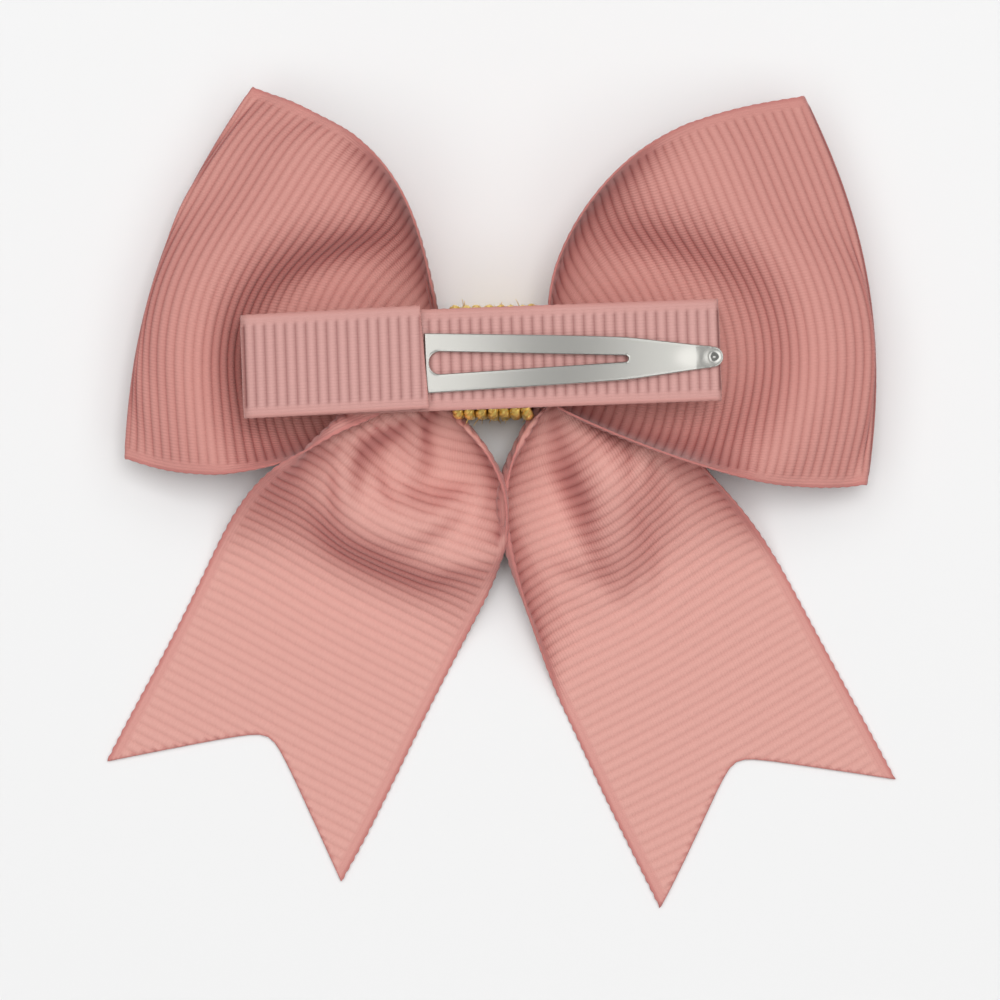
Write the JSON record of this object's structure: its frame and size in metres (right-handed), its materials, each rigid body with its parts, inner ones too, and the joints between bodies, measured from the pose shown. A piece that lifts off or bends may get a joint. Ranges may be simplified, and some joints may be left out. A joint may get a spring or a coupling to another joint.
{
  "type": "hair bow",
  "caption": "Gathered grosgrain hair bow with swallow-tail ends and a metallic cord knot, glued on a ribbon-lined steel snap clip.",
  "frame": {"origin": "on the surface that carries the bow, below the middle of its outline", "axes": "+Z out of the back of the bow, where the clip is; +Y to the top of the bow; +X to the right, seen from the back"},
  "size_m": [0.0767, 0.0801, 0.0128],
  "materials": {
    "loop_grosgrain": "dusty rose grosgrain, soft sheen along the ribs",
    "tail_grosgrain": "dusty rose grosgrain, soft sheen along the ribs",
    "lining_grosgrain": "dusty rose grosgrain, matte",
    "thread": "polyester thread",
    "metallic_cord": "gold metallised braid",
    "hot_melt": "translucent hot-melt glue",
    "spring_steel": "fine brushed, slightly polished",
    "rivet_steel": "satin"
  },
  "bodies": {
    "bow": {"loop_ribbon": "loop_grosgrain", "tail_ribbon": "tail_grosgrain", "gathering_thread": "thread", "centre_wrap": "metallic_cord", "clip_glue_pad": "hot_melt", "clip_lining": "lining_grosgrain", "clip_frame": "spring_steel", "tongue_root": "spring_steel", "clip_rivets": "rivet_steel", "sleeve_glue": "hot_melt"},
    "tongue": {"clip_tongue": "spring_steel"}
  },
  "joints": [
    {"name": "clip_snap", "type": "hinge", "parent": "bow", "child": "tongue", "pos_m": [-0.0072, 0.0131, 0.01212], "axis": [0.0227, -0.9997, 0], "range_deg": [0, 25], "stiffness_Nm_per_rad": 0.02}
  ]
}
